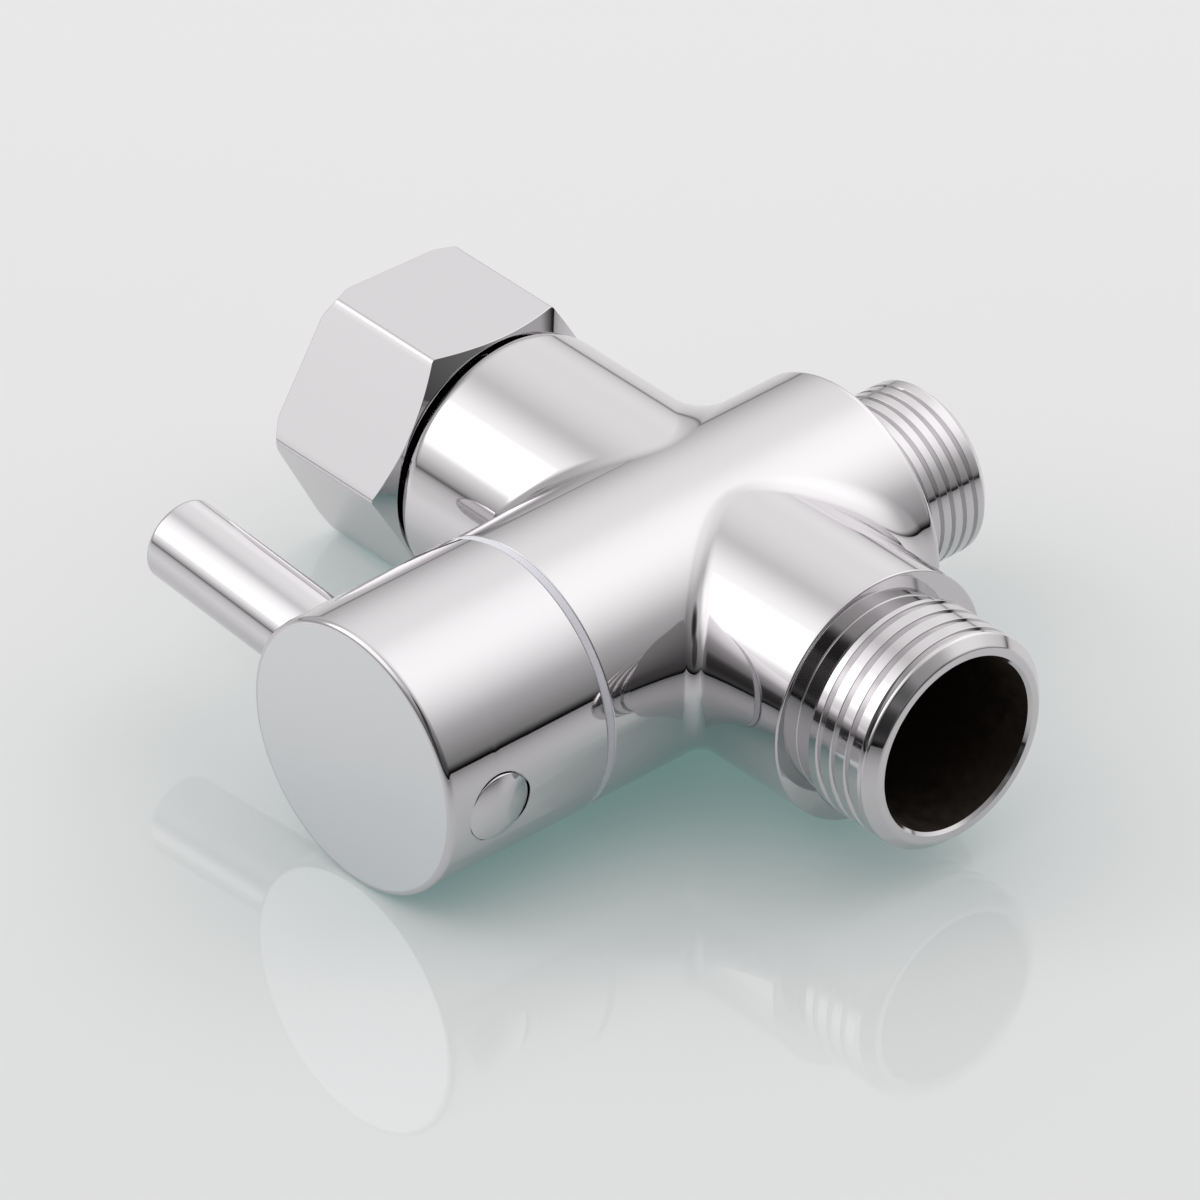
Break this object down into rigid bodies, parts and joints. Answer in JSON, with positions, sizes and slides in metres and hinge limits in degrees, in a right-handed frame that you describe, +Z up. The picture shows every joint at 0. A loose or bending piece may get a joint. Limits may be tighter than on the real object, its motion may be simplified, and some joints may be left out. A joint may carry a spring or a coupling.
{
  "type": "shower diverter valve",
  "caption": "Chrome three-way shower diverter: swivel-nut inlet, two threaded outlets at right angles, and a round knob with a side lever that turns a rotary core.",
  "frame": {"origin": "on the inlet's axis where the swivel nut's thread starts, just off the inlet washer", "axes": "+Y along the inlet arm, out of the swivel nut; +X along the barrel, out of the rear outlet; +Z up as the valve lies on a table"},
  "size_m": [0.068, 0.0759, 0.0264],
  "materials": {
    "chrome_plate": "polished",
    "chrome_knob": "polished",
    "chrome_nut": "polished",
    "pale_plastic": "satin",
    "bare_brass": "machined",
    "white_ptfe": "smooth",
    "disc_ceramic": "lapped",
    "black_rubber": "moulded",
    "plain_steel": "satin"
  },
  "bodies": {
    "valve_body": {"valve_body": "chrome_plate", "stop_ring": "pale_plastic", "gland_nut": "bare_brass", "port_liner": "white_ptfe", "thrust_washer": "white_ptfe", "fixed_disc": "disc_ceramic", "disc_gasket": "black_rubber", "gland_o_ring": "black_rubber", "inlet_washer": "black_rubber", "retaining_ring": "plain_steel", "inlet_strainer": "plain_steel"},
    "knob": {"knob": "chrome_knob", "lever": "chrome_knob", "screw_cap": "chrome_knob", "set_screw": "plain_steel", "valve_core": "bare_brass", "moving_disc": "disc_ceramic", "stem_o_ring_inner": "black_rubber", "stem_o_ring_outer": "black_rubber"},
    "union_nut": {"union_nut": "chrome_nut"}
  },
  "joints": [
    {"name": "knob_turn", "type": "hinge", "parent": "valve_body", "child": "knob", "pos_m": [-0.031, -0.0344, 0], "axis": [1, 0, 0], "range_deg": [-4.5, 85.5]},
    {"name": "nut_spin", "type": "hinge", "parent": "valve_body", "child": "union_nut", "pos_m": [0, 0, 0], "axis": [0, 1, 0], "continuous": true}
  ]
}
